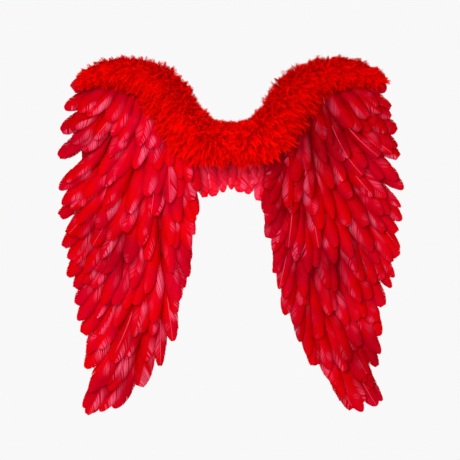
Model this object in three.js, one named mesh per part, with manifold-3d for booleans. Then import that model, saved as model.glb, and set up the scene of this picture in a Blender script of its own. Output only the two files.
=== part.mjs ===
// Costume angel wings: rows of feathers on two felt boards, joined by a back pad with two elastic
// shoulder loops, with a fluffy trim along the top. Millimetres, +Z up, +X to the right, and the
// wearer's back at +Y. The origin is the middle of the pad's face that lies on the wearer's back.
import * as THREE from "three";
import Module from "manifold-3d";

const { lerp, clamp, degToRad } = THREE.MathUtils;

// Overall sizes
const HALF_SPAN = 300; // from the middle to the outermost feather tips
const HEIGHT = 618; // from the top of the trim to the lowest feather tips
const RISE = 173; // from the origin to the top of the trim
const SWEEP = 24; // how far a wing's outer edge curves away from the wearer

// Back pad and boards
const PAD_WIDTH = 184;
const PAD_HEIGHT = 92;
const PAD_THICKNESS = 5;
const PAD_CORNER = 8;
const BOARD_THICKNESS = 3;
const LAID_GAP = 0.4; // between two pieces that lie on each other
const MIDDLE_GAP = 0.6; // between the left and the right pieces where they meet

// Shoulder loops
const STRAP_WIDTH = 25;
const STRAP_THICKNESS = 1.5;
const LOOP_DEPTH = 130; // how far the loop stands back from the middle of the pad's thickness
const LOOP_RISE = 92; // of its top above the origin
const LOOP_DROP = 62; // of its lowest point below the origin
const LOOP_STEPS = 24;

// Feathers
const ROWS = 12;
const FIRST_TIPS = 4; // rows from the top of the wing to the tips of the first row
const ROWS_BELOW_TIPS = 0.1; // rows between the tips of the last row and the lowest point
const FEATHER_ROWS = 3.4; // length of a feather, in rows
const FEATHER_WIDTH = 38;
const FEATHER_PITCH = 43; // in a row; the next row has one feather more, so that they lie in its gaps
const FEATHER_CROWN = 1.3; // height of its middle rib over its edges
const FEATHER_CLEARANCE = 0.4; // between a feather and the next one in its row
const TAPE_WIDTH = 12; // of the tape that holds a row of feathers together
const TAPE_CLEARANCE = 0.3; // of the tape over the ribs in it
const ROW_CLEARANCE = 1.4; // between a row and the row below it
const NARROWING = 0.35; // share of its width that a feather would lose if it lay level
const TURN = 5; // most that a feather is turned in its row, in degrees
const END_TURN = 2; // the same for the first and the last one
const SHIFT = 5; // most that a feather is moved along its row
const LENGTH_CHANGE = 0.3; // most that a feather's tip is off its row's line, in rows
const LINE_STEPS = 12; // in a row's line of tips
const TRIES = 24; // to find a place on a row's line
const STRIDE = 0.7; // share of what is still missing that a try adds

// Short feathers that hang in the middle, below the trim
const FRINGE_FEATHERS = 7;
const FRINGE_HALF_WIDTH = 46; // from the middle to the outermost tip
const FRINGE_ROOT_RISE = 24; // of their tape above the origin
const FRINGE_TIP_DROP = 62; // of the middle one's tip below the origin
const FRINGE_CURVE = 14; // how much lower the outermost tips are
const FRINGE_FEATHER_WIDTH = 24;
const FRINGE_LEAN = 14; // of the outermost ones towards the middle, in degrees
const FRINGE_SLOPE = 0.05; // how fast they rise off the board

// Fluffy trim
const TRIM_WIDTH = 80;
const TRIM_DEPTH = 40;
const TRIM_EDGE = 6; // how far its locks stand out past its core
const TRIM_STEPS = 13;
const LOCKS_ALONG = 10;
const LOCKS_AROUND = 4;
const LOCK_LENGTH = 13;
const LOCK_WIDTH = 28;

// Levels of a wing. down is a share of HEIGHT from the top. inner and outer are where the first and the
// last tips lie, and spine is a line between them, all three as shares of HALF_SPAN. The leans are how
// far the feathers there point away from the middle of the pair, in degrees from straight down.
const LEVELS = [
  { down: 0.09, inner: 0.46, spine: 0.53, outer: 0.91, innerLean: -8, spineLean: 12, outerLean: 56 },
  { down: 0.18, inner: 0.35, spine: 0.45, outer: 0.97, innerLean: -14, spineLean: 6, outerLean: 53 },
  { down: 0.26, inner: 0.25, spine: 0.4, outer: 0.99, innerLean: -18, spineLean: 4, outerLean: 50 },
  { down: 0.34, inner: 0.21, spine: 0.38, outer: 1.0, innerLean: -18, spineLean: 2, outerLean: 47 },
  { down: 0.42, inner: 0.2, spine: 0.38, outer: 0.99, innerLean: -18, spineLean: 0, outerLean: 44 },
  { down: 0.52, inner: 0.22, spine: 0.41, outer: 0.98, innerLean: -18, spineLean: 2, outerLean: 41 },
  { down: 0.63, inner: 0.27, spine: 0.45, outer: 0.935, innerLean: -15, spineLean: 5, outerLean: 39 },
  { down: 0.73, inner: 0.325, spine: 0.5, outer: 0.87, innerLean: -8, spineLean: 10, outerLean: 38 },
  { down: 0.81, inner: 0.395, spine: 0.56, outer: 0.845, innerLean: 0, spineLean: 15, outerLean: 36 },
  { down: 0.89, inner: 0.49, spine: 0.63, outer: 0.84, innerLean: 10, spineLean: 20, outerLean: 33 },
  { down: 0.96, inner: 0.63, spine: 0.71, outer: 0.84, innerLean: 18, spineLean: 24, outerLean: 31 },
  { down: 1.0, inner: 0.72, spine: 0.765, outer: 0.82, innerLean: 24, spineLean: 28, outerLean: 31 },
];

// Upright slices of a board: out is a share of HALF_SPAN, top and bottom are shares of HEIGHT.
const BOARD_SLICES = [
  { out: 0.0, top: 0.201, bottom: 0.3 },
  { out: 0.116, top: 0.196, bottom: 0.308 },
  { out: 0.186, top: 0.167, bottom: 0.33 },
  { out: 0.243, top: 0.122, bottom: 0.4 },
  { out: 0.29, top: 0.089, bottom: 0.49 },
  { out: 0.348, top: 0.055, bottom: 0.6 },
  { out: 0.417, top: 0.035, bottom: 0.705 },
  { out: 0.499, top: 0.024, bottom: 0.8 },
  { out: 0.58, top: 0.021, bottom: 0.848 },
  { out: 0.649, top: 0.021, bottom: 0.859 },
  { out: 0.719, top: 0.027, bottom: 0.831 },
  { out: 0.777, top: 0.038, bottom: 0.736 },
  { out: 0.823, top: 0.055, bottom: 0.601 },
  { out: 0.85, top: 0.083, bottom: 0.446 },
  { out: 0.865, top: 0.122, bottom: 0.263 },
];

// The trim's middle line, from the middle of the wings to its outer end: out is a share of HALF_SPAN,
// down of HEIGHT, width of TRIM_WIDTH and depth of TRIM_DEPTH.
const TRIM_LINE = [
  { out: 0.0, down: 0.248, width: 0.98, depth: 1.0 },
  { out: 0.128, down: 0.229, width: 1.0, depth: 1.0 },
  { out: 0.22, down: 0.19, width: 1.0, depth: 0.97 },
  { out: 0.29, down: 0.148, width: 0.93, depth: 0.94 },
  { out: 0.354, down: 0.106, width: 0.88, depth: 0.9 },
  { out: 0.429, down: 0.072, width: 0.83, depth: 0.87 },
  { out: 0.539, down: 0.052, width: 0.77, depth: 0.8 },
  { out: 0.667, down: 0.047, width: 0.68, depth: 0.72 },
  { out: 0.777, down: 0.057, width: 0.5, depth: 0.58 },
  { out: 0.865, down: 0.078, width: 0.26, depth: 0.38 },
];

// Cross-sections of a feather, from root to tip: at is a share of its length, width of its full width.
const BLADE_SECTIONS = [
  { at: 0.0, width: 0.2 },
  { at: 0.45, width: 0.8 },
  { at: 0.78, width: 1.0 },
  { at: 0.93, width: 0.72 },
  { at: 1.0, width: 0.0 },
];

// Cross-section of the trim's core: across is a share of its half width, up of its depth.
const CORE_SECTION = [
  { across: 0.8, up: 0 },
  { across: 1.0, up: 0.4 },
  { across: 0.7, up: 0.85 },
  { across: 0.0, up: 1.0 },
  { across: -0.7, up: 0.85 },
  { across: -1.0, up: 0.4 },
  { across: -0.8, up: 0 },
  { across: 0.0, up: 0 },
];

// A loop's side view between its two sewn ends: off is a share of LOOP_DEPTH, up of LOOP_RISE where it
// is above zero and of LOOP_DROP where it is below.
const LOOP_LINE = [
  { off: 0.03, up: 0.68 },
  { off: 0.17, up: 0.9 },
  { off: 0.46, up: 1.0 },
  { off: 0.8, up: 0.76 },
  { off: 1.0, up: 0.15 },
  { off: 0.93, up: -0.42 },
  { off: 0.66, up: -0.9 },
  { off: 0.3, up: -1.0 },
  { off: 0.06, up: -0.9 },
];

const BOARD_REAR = PAD_THICKNESS + LAID_GAP;
const BOARD_FRONT = BOARD_REAR + BOARD_THICKNESS;
const ROW_SPACING = HEIGHT / (FIRST_TIPS + ROWS - 1 + ROWS_BELOW_TIPS);
const NEIGHBOUR_STEP = FEATHER_CROWN + FEATHER_CLEARANCE; // every other feather lies this much higher
const TAPE_THICKNESS = NEIGHBOUR_STEP + FEATHER_CROWN + TAPE_CLEARANCE;
const ROW_LIFT = TAPE_THICKNESS + ROW_CLEARANCE; // how far a feather rises in one row

const FEATHER_RED = new THREE.MeshStandardMaterial({ color: 0xd00612, roughness: 0.5, metalness: 0 });
const FLUFF_RED = new THREE.MeshStandardMaterial({ color: 0xf00502, roughness: 0.9, metalness: 0 });
const FELT_RED = new THREE.MeshStandardMaterial({ color: 0xa8060c, roughness: 0.95, metalness: 0 });
const STRAP_RED = new THREE.MeshStandardMaterial({ color: 0xb80a10, roughness: 0.8, metalness: 0 });

const wasm = await Module();
wasm.setup();

// Values between the rows of a table, read at a place in one of its columns.
function tableAt(rows, column, place) {
  let i = 0;
  while (i < rows.length - 2 && rows[i + 1][column] < place) i += 1;
  const low = rows[i];
  const high = rows[i + 1];
  const share = clamp((place - low[column]) / (high[column] - low[column]), 0, 1);
  return Object.fromEntries(Object.keys(low).map((name) => [name, lerp(low[name], high[name], share)]));
}

// A number from -1 to 1 that is always the same for the same three numbers.
function scatter(a, b, c) {
  const mixed = Math.sin(a * 12.9898 + b * 78.233 + c * 37.719) * 43758.5453;
  return 2 * (mixed - Math.floor(mixed)) - 1;
}

// How far a wing curves away from the wearer at a distance out from the middle.
function sweepAt(out) {
  const start = PAD_WIDTH / 2;
  const share = Math.max(0, out - start) / (HALF_SPAN - start);
  return SWEEP * share * share;
}

// The point at a distance out from the middle, at a height, and up off the boards' front.
function onWing(side, out, z, up) {
  return new THREE.Vector3(side * out, -(BOARD_FRONT + up) - sweepAt(out), z);
}

// Which row a point of a wing is in, counted down from the top. The lines of equal value are the lines
// that the rows follow, and the feathers point across them. The lean's tangent changes evenly from the
// spine to an edge, and stays the same beyond the edge.
function rowAt(out, z) {
  const level = tableAt(LEVELS, "down", (RISE - z) / HEIGHT);
  const off = out - level.spine * HALF_SPAN;
  const edge = off > 0 ? "outer" : "inner";
  const reach = Math.abs(level[edge] - level.spine) * HALF_SPAN;
  const slope = Math.tan(degToRad(level.spineLean));
  const turned = Math.tan(degToRad(level[`${edge}Lean`])) - slope;
  const within = Math.min(Math.abs(off), reach);
  const bent = (Math.sign(off) * within * (Math.abs(off) - within / 2)) / reach;
  return (RISE - z + slope * off + turned * bent) / ROW_SPACING;
}

// The way in which rowAt grows fastest, and how fast.
function downRow(out, z) {
  const step = 1;
  const slope = new THREE.Vector2(
    (rowAt(out + step, z) - rowAt(out - step, z)) / (2 * step),
    (rowAt(out, z + step) - rowAt(out, z - step)) / (2 * step),
  );
  const steepness = slope.length();
  return { way: slope.normalize(), steepness };
}

// The height at which rowAt has a value, at a distance out.
function heightOfRow(out, row) {
  let z = RISE - row * ROW_SPACING;
  for (let i = 0; i < TRIES; i += 1) z += (rowAt(out, z) - row) * ROW_SPACING * STRIDE;
  return z;
}

// How far out the tips of a row begin or end, for the column "inner" or "outer" of LEVELS.
function rowEnd(row, column) {
  let out = 0.6 * HALF_SPAN;
  for (let i = 0; i < TRIES; i += 1) {
    const level = tableAt(LEVELS, "down", (RISE - heightOfRow(out, row)) / HEIGHT);
    out = lerp(out, level[column] * HALF_SPAN, STRIDE);
  }
  return out;
}

// How far out each tip of a row is, evenly along the row's line.
function tipsOf(row, extra) {
  const [first, last] = [rowEnd(row, "inner"), rowEnd(row, "outer")];
  const line = [];
  for (let i = 0; i <= LINE_STEPS; i += 1) {
    const out = lerp(first, last, i / LINE_STEPS);
    line.push(new THREE.Vector3(out, heightOfRow(out, row), 0));
  }
  const curve = new THREE.CatmullRomCurve3(line);
  const count = Math.max(2, Math.round(curve.getLength() / FEATHER_PITCH) + 1) + extra;
  return curve.getSpacedPoints(count - 1).map((point) => point.x);
}

// A closed body through rings of points of one length. The last ring may be a single point.
function loft(rings) {
  const points = rings.flat();
  const starts = [];
  rings.reduce((count, ring) => (starts.push(count), count + ring.length), 0);
  const sides = rings[0].length;
  const faces = [];
  for (let r = 0; r + 1 < rings.length; r += 1) {
    const pointed = rings[r + 1].length === 1;
    for (let i = 0; i < sides; i += 1) {
      const a = starts[r] + i;
      const b = starts[r] + ((i + 1) % sides);
      if (pointed) {
        faces.push([a, b, starts[r + 1]]);
      } else {
        const c = starts[r + 1] + ((i + 1) % sides);
        const d = starts[r + 1] + i;
        faces.push([a, b, c], [a, c, d]);
      }
    }
  }
  for (let i = 1; i + 1 < sides; i += 1) {
    faces.push([starts[0], starts[0] + i + 1, starts[0] + i]);
    if (rings.at(-1).length > 1) {
      const end = starts.at(-1);
      faces.push([end, end + i, end + i + 1]);
    }
  }
  return facingOut(points, faces);
}

// A geometry whose faces point out, whichever way round its rings were given.
function facingOut(points, faces) {
  const volume = faces.reduce(
    (sum, [a, b, c]) => sum + points[a].dot(new THREE.Vector3().crossVectors(points[b], points[c])),
    0,
  );
  const order = volume > 0 ? faces : faces.map(([a, b, c]) => [a, c, b]);
  const geometry = new THREE.BufferGeometry().setFromPoints(points);
  geometry.setIndex(order.flat());
  return geometry;
}

function toSolid(geometry) {
  const vertProperties = new Float32Array(geometry.getAttribute("position").array);
  const triVerts = new Uint32Array(geometry.index.array);
  return new wasm.Manifold(new wasm.Mesh({ numProp: 3, vertProperties, triVerts }));
}

function toGeometry(solid) {
  const { numProp, vertProperties, triVerts } = solid.getMesh();
  const geometry = new THREE.BufferGeometry();
  geometry.setAttribute("position", new THREE.BufferAttribute(vertProperties, numProp));
  geometry.setIndex(new THREE.BufferAttribute(triVerts, 1));
  return geometry;
}

// One body from several that run into each other.
function joined(geometries) {
  return toGeometry(geometries.map(toSolid).reduce((all, next) => all.add(next)));
}

function named(name, geometry, material) {
  const mesh = new THREE.Mesh(geometry, material);
  mesh.name = name;
  return mesh;
}

// A feather along a line of points, root first. height gives how far up a point of it lies.
function blade(side, line, width, height) {
  const curve = new THREE.CatmullRomCurve3(line.map((p) => new THREE.Vector3(p.x, p.y, 0)));
  const rings = BLADE_SECTIONS.map((section) => {
    const middle = curve.getPoint(section.at);
    const along = curve.getTangent(section.at);
    const across = new THREE.Vector3(-along.y, along.x, 0).multiplyScalar((section.width * width) / 2);
    const left = middle.clone().add(across);
    const right = middle.clone().sub(across);
    if (section.width === 0) return [onWing(side, middle.x, middle.y, height(middle))];
    return [
      onWing(side, left.x, left.y, height(left)),
      onWing(side, right.x, right.y, height(right)),
      onWing(side, middle.x, middle.y, height(middle) + FEATHER_CROWN),
    ];
  });
  return loft(rings);
}

// The tape under a row's roots: a flat strip through points, each with the way that its feathers point.
function tape(side, roots, height) {
  const half = TAPE_WIDTH / 2;
  const rings = roots.map(({ point, way }) => {
    const above = point.clone().addScaledVector(way, -half);
    const below = point.clone().addScaledVector(way, half);
    return [
      onWing(side, above.x, above.y, height),
      onWing(side, below.x, below.y, height),
      onWing(side, below.x, below.y, height + TAPE_THICKNESS),
      onWing(side, above.x, above.y, height + TAPE_THICKNESS),
    ];
  });
  return loft(rings);
}

// The line of a feather from its tip up to its row's root line, as points from root to tip.
function featherLine(out, tipRow, rootRow, turn) {
  const steps = 6;
  const point = new THREE.Vector2(out, heightOfRow(out, tipRow));
  const line = [point.clone()];
  for (let i = 0; i < steps; i += 1) {
    const { way, steepness } = downRow(point.x, point.y);
    point.addScaledVector(way, -(tipRow - rootRow) / steps / steepness);
    line.unshift(point.clone());
  }
  return line.map((p) => p.rotateAround(line[0].clone(), turn));
}

// One row of a wing: its feathers, each turned and lengthened a little, on their tape.
function featherRow(side, row) {
  const rootRow = FIRST_TIPS + row - FEATHER_ROWS;
  const tipRow = FIRST_TIPS + row;
  const tips = tipsOf(tipRow, row % 2);
  const height = (p) => LAID_GAP + ROW_LIFT * Math.max(0, rowAt(p.x, p.y) - rootRow);
  const feathers = [];
  const roots = [];
  tips.forEach((place, i) => {
    const end = i === 0 || i === tips.length - 1;
    const out = place + (end ? 0 : SHIFT * scatter(row, i, side));
    const tip = tipRow + (end ? 0 : LENGTH_CHANGE * scatter(i, row, side + 5));
    const turn = degToRad(end ? END_TURN : TURN) * scatter(row + 3, i, side + 9);
    const line = featherLine(out, tip, rootRow, turn);
    const lean = Math.abs(line.at(-1).x - line[0].x) / line.at(-1).distanceTo(line[0]);
    const width = FEATHER_WIDTH * (1 - NARROWING * lean * lean);
    const step = i % 2 ? NEIGHBOUR_STEP : 0;
    feathers.push(blade(side, line, width, (p) => height(p) + step));
    roots.push({ point: line[0], way: downRow(line[0].x, line[0].y).way });
  });
  return joined([tape(side, stretched(roots), LAID_GAP), ...feathers]);
}

// The roots, with both ends carried on a little so that the outer feathers sit on the tape.
function stretched(roots) {
  const overhang = TAPE_WIDTH / 2;
  const carry = (end, next) => {
    const away = end.point.clone().sub(next.point).normalize();
    return { point: end.point.clone().addScaledVector(away, overhang), way: end.way };
  };
  const start = carry(roots[0], roots[1]);
  const finish = carry(roots.at(-1), roots.at(-2));
  return [start, ...roots.slice(1, -1), finish];
}

// The short feathers in the middle, which lie low so that the wings' inner feathers pass over them.
function fringe() {
  const height = (p) => LAID_GAP + FRINGE_SLOPE * Math.max(0, FRINGE_ROOT_RISE - p.y);
  const length = FRINGE_ROOT_RISE + FRINGE_TIP_DROP;
  const feathers = [];
  for (let i = 0; i < FRINGE_FEATHERS; i += 1) {
    const place = (2 * i) / (FRINGE_FEATHERS - 1) - 1;
    const tip = new THREE.Vector2(place * FRINGE_HALF_WIDTH, -FRINGE_TIP_DROP - FRINGE_CURVE * Math.abs(place));
    const lean = degToRad(FRINGE_LEAN) * place;
    const root = new THREE.Vector2(tip.x + Math.tan(lean) * length, FRINGE_ROOT_RISE);
    const line = [root, root.clone().lerp(tip, 0.5), tip];
    const step = i % 2 ? NEIGHBOUR_STEP : 0;
    feathers.push(blade(1, line, FRINGE_FEATHER_WIDTH, (p) => height(p) + step));
  }
  const end = FRINGE_HALF_WIDTH + Math.tan(degToRad(FRINGE_LEAN)) * length;
  const way = new THREE.Vector2(0, -1);
  const ends = [-end, end].map((x) => ({ point: new THREE.Vector2(x, FRINGE_ROOT_RISE), way }));
  return joined([tape(1, ends, LAID_GAP), ...feathers]);
}

// How far up the trim's back lies: on the first row's feathers, on their tape, or on the fringe.
function trimBack(out, z) {
  const onRow = ROW_LIFT * Math.max(0, rowAt(out, z) - (FIRST_TIPS - FEATHER_ROWS));
  const onFringe = FRINGE_SLOPE * Math.max(0, FRINGE_ROOT_RISE - z);
  return LAID_GAP + TAPE_THICKNESS + LAID_GAP + Math.max(onRow, onFringe);
}

// The trim's middle line, with its width, depth and the way across it, at a share of its length.
function trimAt(curve, share) {
  const point = curve.getPointAt(share);
  const along = curve.getTangentAt(share);
  const { width, depth } = tableAt(TRIM_LINE, "out", point.x / HALF_SPAN);
  return {
    point,
    across: new THREE.Vector3(-along.y, along.x, 0),
    half: (width * TRIM_WIDTH) / 2 - TRIM_EDGE,
    depth: depth * TRIM_DEPTH - TRIM_EDGE,
  };
}

// A point of the trim, at shares of its half width and its depth.
function trimPoint(side, at, across, up) {
  const p = at.point.clone().addScaledVector(at.across, across * at.half);
  const out = Math.max(MIDDLE_GAP / 2, p.x);
  return onWing(side, out, p.y, trimBack(out, p.y) + up * at.depth);
}

// A pointed lock of fluff that grows out of the trim's core at an angle round its front.
function lock(side, curve, share, angle, length) {
  const at = trimAt(curve, share);
  const foot = trimPoint(side, at, 0.6 * Math.cos(angle), 0.35 + 0.3 * Math.sin(angle));
  const skin = trimPoint(side, at, Math.cos(angle), 0.35 + 0.65 * Math.sin(angle));
  const away = skin.clone().sub(foot).normalize();
  const tip = skin.clone().addScaledVector(away, length);
  const beside = new THREE.Vector3(away.z, 0, -away.x).normalize();
  const over = new THREE.Vector3().crossVectors(away, beside);
  const ring = [0, 1, 2, 3].map((i) => {
    const turn = (i * Math.PI) / 2;
    const spoke = beside.clone().multiplyScalar(Math.cos(turn)).addScaledVector(over, Math.sin(turn));
    return foot.clone().addScaledVector(spoke, LOCK_WIDTH / 2);
  });
  const limit = (p) => {
    const out = Math.max(MIDDLE_GAP / 2, side * p.x);
    return new THREE.Vector3(side * out, Math.min(p.y, onWing(side, out, p.z, trimBack(out, p.z)).y), p.z);
  };
  return loft([ring.map(limit), [limit(tip)]]);
}

function trim(side) {
  const points = TRIM_LINE.map((row) => new THREE.Vector3(row.out * HALF_SPAN, RISE - row.down * HEIGHT, 0));
  const curve = new THREE.CatmullRomCurve3(points);
  const rings = [];
  for (let i = 0; i < TRIM_STEPS; i += 1) {
    const at = trimAt(curve, i / (TRIM_STEPS - 1));
    if (i === 0) at.across.set(0, 1, 0);
    rings.push(CORE_SECTION.map(({ across, up }) => trimPoint(side, at, across, up)));
  }
  const locks = [];
  for (let i = 0; i < LOCKS_ALONG; i += 1) {
    for (let j = 0; j < LOCKS_AROUND; j += 1) {
      const share = (i + 0.6 + 0.3 * scatter(i, j, side)) / LOCKS_ALONG;
      const spread = (j + 0.5 * (i % 2)) / (LOCKS_AROUND - 0.5);
      const angle = lerp(0.02, 0.98, spread) * Math.PI;
      const length = LOCK_LENGTH * (1 + 0.3 * scatter(j, i, side + 2));
      locks.push(lock(side, curve, Math.min(share, 0.97), angle, length));
    }
  }
  return joined([loft(rings), ...locks]);
}

function board(side) {
  const rings = BOARD_SLICES.map(({ out, top, bottom }) => {
    const x = Math.max(MIDDLE_GAP / 2, out * HALF_SPAN);
    const [high, low] = [RISE - top * HEIGHT, RISE - bottom * HEIGHT];
    return [
      onWing(side, x, high, 0),
      onWing(side, x, low, 0),
      onWing(side, x, low, -BOARD_THICKNESS),
      onWing(side, x, high, -BOARD_THICKNESS),
    ];
  });
  return loft(rings);
}

function pad() {
  const shape = new THREE.Shape();
  const [x, y, r] = [PAD_WIDTH / 2, PAD_HEIGHT / 2, PAD_CORNER];
  shape.absarc(x - r, y - r, r, 0, Math.PI / 2);
  shape.absarc(r - x, y - r, r, Math.PI / 2, Math.PI);
  shape.absarc(r - x, r - y, r, Math.PI, 1.5 * Math.PI);
  shape.absarc(x - r, r - y, r, 1.5 * Math.PI, 2 * Math.PI);
  const settings = { depth: PAD_THICKNESS, bevelEnabled: false, curveSegments: 3 };
  const mesh = named("back_pad", new THREE.ExtrudeGeometry(shape, settings), FELT_RED);
  mesh.rotation.x = Math.PI / 2;
  return mesh;
}

// An elastic loop for an arm. Its ends are sewn into the pad's top and bottom edges.
function strap(side) {
  const middle = -PAD_THICKNESS / 2;
  const end = PAD_HEIGHT / 2 + LAID_GAP;
  const bowed = LOOP_LINE.map(({ off, up }) => {
    const z = up > 0 ? up * LOOP_RISE : up * LOOP_DROP;
    return new THREE.Vector3(0, middle + off * LOOP_DEPTH, z);
  });
  const ends = [new THREE.Vector3(0, middle, end), new THREE.Vector3(0, middle, -end)];
  const curve = new THREE.CatmullRomCurve3([ends[0], ...bowed, ends[1]], false, "centripetal");
  const x = PAD_WIDTH / 2 - PAD_CORNER - STRAP_WIDTH / 2;
  const half = STRAP_THICKNESS / 2;
  const rings = [];
  for (let i = 0; i <= LOOP_STEPS; i += 1) {
    const point = curve.getPointAt(i / LOOP_STEPS);
    const along = i % LOOP_STEPS ? curve.getTangentAt(i / LOOP_STEPS) : new THREE.Vector3(0, 0, 1);
    const out = new THREE.Vector3(0, along.z, -along.y).multiplyScalar(half);
    const edges = [x - STRAP_WIDTH / 2, x + STRAP_WIDTH / 2].map((edge) => side * edge);
    rings.push([
      new THREE.Vector3(edges[0], point.y + out.y, point.z + out.z),
      new THREE.Vector3(edges[1], point.y + out.y, point.z + out.z),
      new THREE.Vector3(edges[1], point.y - out.y, point.z - out.z),
      new THREE.Vector3(edges[0], point.y - out.y, point.z - out.z),
    ]);
  }
  return loft(rings);
}

const wings = new THREE.Group();
wings.add(pad());
wings.add(named("middle_fringe", fringe(), FEATHER_RED));
for (const [name, side] of [["left", -1], ["right", 1]]) {
  const wing = new THREE.Group();
  wing.add(named(`${name}_board`, board(side), FELT_RED));
  for (let row = 0; row < ROWS; row += 1) {
    const label = String(row + 1).padStart(2, "0");
    wing.add(named(`${name}_feather_row_${label}`, featherRow(side, row), FEATHER_RED));
  }
  wing.add(named(`${name}_trim`, trim(side), FLUFF_RED));
  wing.add(named(`${name}_strap`, strap(side), STRAP_RED));
  wings.add(wing);
}

export default wings;
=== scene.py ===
"""Feathered costume wings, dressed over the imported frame: barbed feathers in rows, a marabou trim,
felt boards, a back pad and elastic loops. Lengths are in millimetres until a mesh is made."""
import math

import bpy
import numpy as np
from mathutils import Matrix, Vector


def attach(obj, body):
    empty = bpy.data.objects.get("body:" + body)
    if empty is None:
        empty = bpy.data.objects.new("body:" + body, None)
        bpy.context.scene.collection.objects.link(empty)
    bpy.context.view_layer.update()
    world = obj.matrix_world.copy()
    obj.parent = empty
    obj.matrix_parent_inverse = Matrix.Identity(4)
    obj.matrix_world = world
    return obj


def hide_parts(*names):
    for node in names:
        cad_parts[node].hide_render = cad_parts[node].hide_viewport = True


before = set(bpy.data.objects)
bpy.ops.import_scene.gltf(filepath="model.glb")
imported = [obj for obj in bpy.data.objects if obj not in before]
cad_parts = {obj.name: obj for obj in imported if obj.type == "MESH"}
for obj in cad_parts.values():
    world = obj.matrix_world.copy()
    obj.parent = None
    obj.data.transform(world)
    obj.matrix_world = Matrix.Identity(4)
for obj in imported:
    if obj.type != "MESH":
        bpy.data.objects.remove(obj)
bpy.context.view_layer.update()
MM = 0.001
NAMES = {-1: "left", 1: "right"}

# Sizes of the frame that the pieces follow
HALF_SPAN, HEIGHT, RISE, SWEEP = 300, 618, 173, 24
PAD_WIDTH, PAD_HEIGHT, PAD_THICKNESS, PAD_CORNER = 184, 92, 5, 8
BOARD_THICKNESS, LAID_GAP, MIDDLE_GAP = 3, 0.4, 0.6
STRAP_WIDTH, STRAP_THICKNESS = 25, 1.5
LOOP_DEPTH, LOOP_RISE, LOOP_DROP = 130, 92, 62
ROWS, FIRST_TIPS, ROWS_BELOW_TIPS, FEATHER_ROWS = 12, 4, 0.1, 3.4
FEATHER_PITCH, FEATHER_CROWN, FEATHER_CLEARANCE = 43, 1.3, 0.4
TAPE_WIDTH, TAPE_CLEARANCE, ROW_CLEARANCE = 12, 0.3, 1.4
TURN, END_TURN, SHIFT, LENGTH_CHANGE = 5, 2, 5, 0.3
TRIES, STRIDE = 24, 0.7
FRINGE_FEATHERS, FRINGE_HALF_WIDTH, FRINGE_ROOT_RISE = 7, 46, 24
FRINGE_TIP_DROP, FRINGE_CURVE, FRINGE_LEAN, FRINGE_SLOPE = 62, 14, 14, 0.05
TRIM_WIDTH, TRIM_DEPTH, TRIM_EDGE = 80, 40, 6

BOARD_REAR = PAD_THICKNESS + LAID_GAP
BOARD_FRONT = BOARD_REAR + BOARD_THICKNESS
ROW_SPACING = HEIGHT / (FIRST_TIPS + ROWS - 1 + ROWS_BELOW_TIPS)
NEIGHBOUR_STEP = FEATHER_CROWN + FEATHER_CLEARANCE
TAPE_THICKNESS = NEIGHBOUR_STEP + FEATHER_CROWN + TAPE_CLEARANCE
ROW_LIFT = TAPE_THICKNESS + ROW_CLEARANCE

# Levels of a wing, as in the frame: down is a share of HEIGHT, inner, spine and outer of HALF_SPAN, and
# the leans are in degrees from straight down, away from the middle of the pair
LEVELS = {
    "down": [0.09, 0.18, 0.26, 0.34, 0.42, 0.52, 0.63, 0.73, 0.81, 0.89, 0.96, 1.0],
    "inner": [0.46, 0.35, 0.25, 0.21, 0.2, 0.22, 0.27, 0.325, 0.395, 0.49, 0.63, 0.72],
    "spine": [0.53, 0.45, 0.4, 0.38, 0.38, 0.41, 0.45, 0.5, 0.56, 0.63, 0.71, 0.765],
    "outer": [0.91, 0.97, 0.99, 1.0, 0.99, 0.98, 0.935, 0.87, 0.845, 0.84, 0.84, 0.82],
    "inner_lean": [-8, -14, -18, -18, -18, -18, -15, -8, 0, 10, 18, 24],
    "spine_lean": [12, 6, 4, 2, 0, 2, 5, 10, 15, 20, 24, 28],
    "outer_lean": [56, 53, 50, 47, 44, 41, 39, 38, 36, 33, 31, 31],
}

# Upright slices of a board: out is a share of HALF_SPAN, top and bottom are shares of HEIGHT
BOARD_SLICES = {
    "out": [0, 0.116, 0.186, 0.243, 0.29, 0.348, 0.417, 0.499, 0.58, 0.649, 0.719, 0.777, 0.823, 0.85, 0.865],
    "top": [
        0.201, 0.196, 0.167, 0.122, 0.089, 0.055, 0.035, 0.024,
        0.021, 0.021, 0.027, 0.038, 0.055, 0.083, 0.122,
    ],
    "bottom": [0.3, 0.308, 0.33, 0.4, 0.49, 0.6, 0.705, 0.8, 0.848, 0.859, 0.831, 0.736, 0.601, 0.446, 0.263],
}

# The trim's middle line: out is a share of HALF_SPAN and down of HEIGHT, width and depth are shares
# of TRIM_WIDTH and TRIM_DEPTH
TRIM_LINE = {
    "out": [0, 0.128, 0.22, 0.29, 0.354, 0.429, 0.539, 0.667, 0.777, 0.865],
    "down": [0.248, 0.229, 0.19, 0.148, 0.106, 0.072, 0.052, 0.047, 0.057, 0.078],
    "width": [0.98, 1.0, 1.0, 0.93, 0.88, 0.83, 0.77, 0.68, 0.5, 0.26],
    "depth": [1.0, 1.0, 0.97, 0.94, 0.9, 0.87, 0.8, 0.72, 0.58, 0.38],
}

# A loop's side view between its sewn ends: off is a share of LOOP_DEPTH, up of LOOP_RISE or LOOP_DROP
LOOP_LINE = {
    "off": [0.03, 0.17, 0.46, 0.8, 1.0, 0.93, 0.66, 0.3, 0.06],
    "up": [0.68, 0.9, 1.0, 0.76, 0.15, -0.42, -0.9, -1.0, -0.9],
}


def scatter(a, b, c):
    """A number from -1 to 1 that is always the same for the same three numbers, as in the frame."""
    mixed = np.sin(a * 12.9898 + b * 78.233 + c * 37.719) * 43758.5453
    return 2 * (mixed - np.floor(mixed)) - 1


def level(down, column):
    """What one column of the table of levels says at shares of the height."""
    return np.interp(down, LEVELS["down"], LEVELS[column])


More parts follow.
